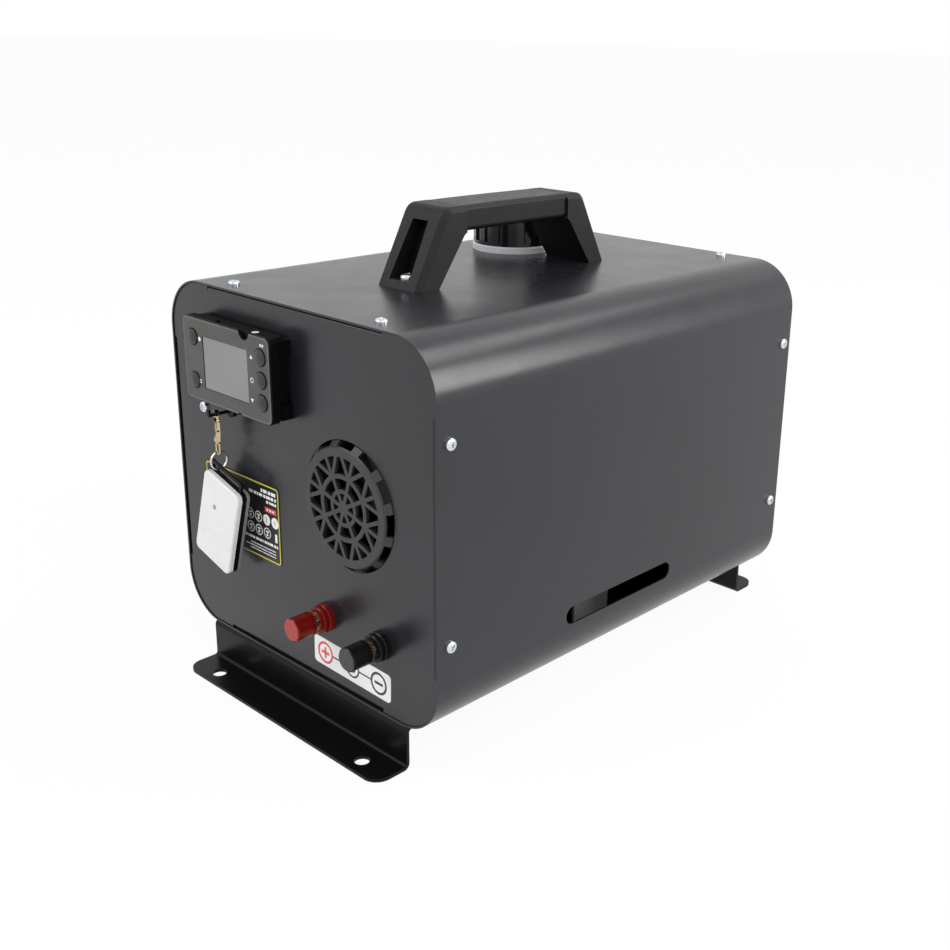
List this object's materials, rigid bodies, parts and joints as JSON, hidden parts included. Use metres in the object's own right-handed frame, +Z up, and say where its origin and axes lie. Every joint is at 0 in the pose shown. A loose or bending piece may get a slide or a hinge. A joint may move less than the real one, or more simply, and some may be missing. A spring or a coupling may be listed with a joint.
{
  "type": "diesel air heater",
  "caption": "Portable diesel air heater in a rounded sheet-steel box with carry handle, filler cap, display controller, intake grille, power posts, outlet spigot and hanging remote.",
  "frame": {"origin": "middle of the four bolt holes in the feet, on the floor", "axes": "+Z up, -Y out of the front panel with the controls, +X towards the slotted side"},
  "size_m": [0.2448, 0.3794, 0.298],
  "materials": {
    "casing_paint": "semi-gloss powder coat",
    "handle_plastic": "fine grain",
    "grip_rubber": "soft matt",
    "zinc_steel": "zinc plated",
    "tank_plastic": "blow-moulded",
    "white_plastic": "satin",
    "black_gloss_plastic": "gloss",
    "black_plastic": "matt",
    "grey_plastic": "satin",
    "screen": "dark display window",
    "key_rubber": "soft matt",
    "label_film": "printed film",
    "red_plastic": "gloss",
    "post_metal": "plated",
    "cast_aluminium": "as cast",
    "fan_plastic": "moulded",
    "motor_steel": "plain",
    "pipe_steel": "plain",
    "rubber_black": "matt",
    "clip_metal": "pale plated"
  },
  "bodies": {
    "heater": {"shell": "casing_paint", "front_panel": "casing_paint", "rear_panel": "casing_paint", "front_foot": "casing_paint", "rear_foot": "casing_paint", "casing_screws": "zinc_steel", "foot_screws": "zinc_steel", "panel_screw": "zinc_steel", "handle_body": "handle_plastic", "handle_grip": "grip_rubber", "handle_screws": "zinc_steel", "fuel_tank": "tank_plastic", "filler_collar": "white_plastic", "controller_cradle": "black_plastic", "controller_case": "black_gloss_plastic", "controller_bezel": "black_gloss_plastic", "lcd_window": "screen", "info_label": "label_film", "polarity_label": "label_film", "intake_grille": "grey_plastic", "heater_case_lower": "black_plastic", "heater_case_upper": "black_plastic", "fan_motor": "motor_steel", "heat_exchanger": "cast_aluminium", "exhaust_stub": "pipe_steel", "burner_air_stub": "pipe_steel", "pipe_plate": "zinc_steel", "heater_bracket": "zinc_steel", "outlet_spigot": "pipe_steel", "outlet_screws": "zinc_steel", "fuel_pump": "black_plastic", "pump_clamp": "rubber_black", "key_peg": "black_plastic", "terminal_base_red": "red_plastic", "terminal_base_black": "black_gloss_plastic", "terminal_post_red": "post_metal", "terminal_post_black": "post_metal"},
    "filler_cap": {"filler_cap": "black_gloss_plastic"},
    "fan": {"fan_wheel": "fan_plastic"},
    "red_knob": {"terminal_knob_red": "red_plastic"},
    "black_knob": {"terminal_knob_black": "black_gloss_plastic"},
    "clip": {"clip_hook": "clip_metal"},
    "clip_gate": {"clip_gate": "clip_metal"},
    "clip_swivel": {"clip_swivel": "clip_metal"},
    "split_ring": {"split_ring": "clip_metal"},
    "remote": {"fob_frame": "black_plastic", "fob_rear_cover": "white_plastic", "fob_front_cover": "grey_plastic"},
    "key_settings": {"key_settings": "key_rubber"},
    "key_mode": {"key_mode": "key_rubber"},
    "key_up": {"key_up": "key_rubber"},
    "key_power": {"key_power": "key_rubber"},
    "key_down": {"key_down": "key_rubber"},
    "fob_key_on": {"fob_key_on": "key_rubber"},
    "fob_key_off": {"fob_key_off": "key_rubber"},
    "fob_key_up": {"fob_key_up": "key_rubber"},
    "fob_key_down": {"fob_key_down": "key_rubber"}
  },
  "joints": [
    {"name": "filler_cap_turn", "type": "hinge", "parent": "heater", "child": "filler_cap", "pos_m": [-0.05, 0.066, 0.256], "axis": [0, 0, 1], "range_deg": [0, 450]},
    {"name": "fan_spin", "type": "hinge", "parent": "heater", "child": "fan", "pos_m": [0.0482, -0.131, 0.146], "axis": [0, 1, 0], "continuous": true},
    {"name": "red_knob_turn", "type": "hinge", "parent": "heater", "child": "red_knob", "pos_m": [0.024, -0.18, 0.0705], "axis": [0, -1, 0], "range_deg": [0, 720]},
    {"name": "black_knob_turn", "type": "hinge", "parent": "heater", "child": "black_knob", "pos_m": [0.0732, -0.18, 0.0705], "axis": [0, -1, 0], "range_deg": [0, 720]},
    {"name": "clip_swing", "type": "hinge", "parent": "heater", "child": "clip", "pos_m": [-0.0606, -0.1744, 0.17695], "axis": [0, 1, 0], "range_deg": [-25, 25]},
    {"name": "gate_open", "type": "hinge", "parent": "clip", "child": "clip_gate", "pos_m": [-0.05879, -0.17525, 0.1684], "axis": [-0.4226, -0.9063, 0], "range_deg": [0, 7.5], "stiffness_Nm_per_rad": 0.004, "springref_deg": -8.59},
    {"name": "swivel_turn", "type": "hinge", "parent": "clip", "child": "clip_swivel", "pos_m": [-0.0606, -0.1744, 0.1556], "axis": [0, 0, 1], "range_deg": [-13, 13]},
    {"name": "ring_swing", "type": "hinge", "parent": "clip_swivel", "child": "split_ring", "pos_m": [-0.0606, -0.1744, 0.1521], "axis": [1, 0, 0], "range_deg": [-60, 4]},
    {"name": "remote_swing", "type": "hinge", "parent": "split_ring", "child": "remote", "pos_m": [-0.0606, -0.1744, 0.14255], "axis": [0, 1, 0], "range_deg": [-30, 30]},
    {"name": "key_settings_press", "type": "slide", "parent": "heater", "child": "key_settings", "axis": [0, 1, 0], "range_m": [0, 0.0008], "stiffness_N_per_m": 500, "springref_m": -0.0006},
    {"name": "key_mode_press", "type": "slide", "parent": "heater", "child": "key_mode", "axis": [0, 1, 0], "range_m": [0, 0.0008], "stiffness_N_per_m": 500, "springref_m": -0.0006},
    {"name": "key_up_press", "type": "slide", "parent": "heater", "child": "key_up", "axis": [0, 1, 0], "range_m": [0, 0.0008], "stiffness_N_per_m": 500, "springref_m": -0.0006},
    {"name": "key_power_press", "type": "slide", "parent": "heater", "child": "key_power", "axis": [0, 1, 0], "range_m": [0, 0.0008], "stiffness_N_per_m": 500, "springref_m": -0.0006},
    {"name": "key_down_press", "type": "slide", "parent": "heater", "child": "key_down", "axis": [0, 1, 0], "range_m": [0, 0.0008], "stiffness_N_per_m": 500, "springref_m": -0.0006},
    {"name": "fob_key_on_press", "type": "slide", "parent": "remote", "child": "fob_key_on", "axis": [0, -1, 0], "range_m": [0, 0.0005], "stiffness_N_per_m": 400, "springref_m": -0.0005},
    {"name": "fob_key_off_press", "type": "slide", "parent": "remote", "child": "fob_key_off", "axis": [0, -1, 0], "range_m": [0, 0.0005], "stiffness_N_per_m": 400, "springref_m": -0.0005},
    {"name": "fob_key_up_press", "type": "slide", "parent": "remote", "child": "fob_key_up", "axis": [0, -1, 0], "range_m": [0, 0.0005], "stiffness_N_per_m": 400, "springref_m": -0.0005},
    {"name": "fob_key_down_press", "type": "slide", "parent": "remote", "child": "fob_key_down", "axis": [0, -1, 0], "range_m": [0, 0.0005], "stiffness_N_per_m": 400, "springref_m": -0.0005}
  ]
}
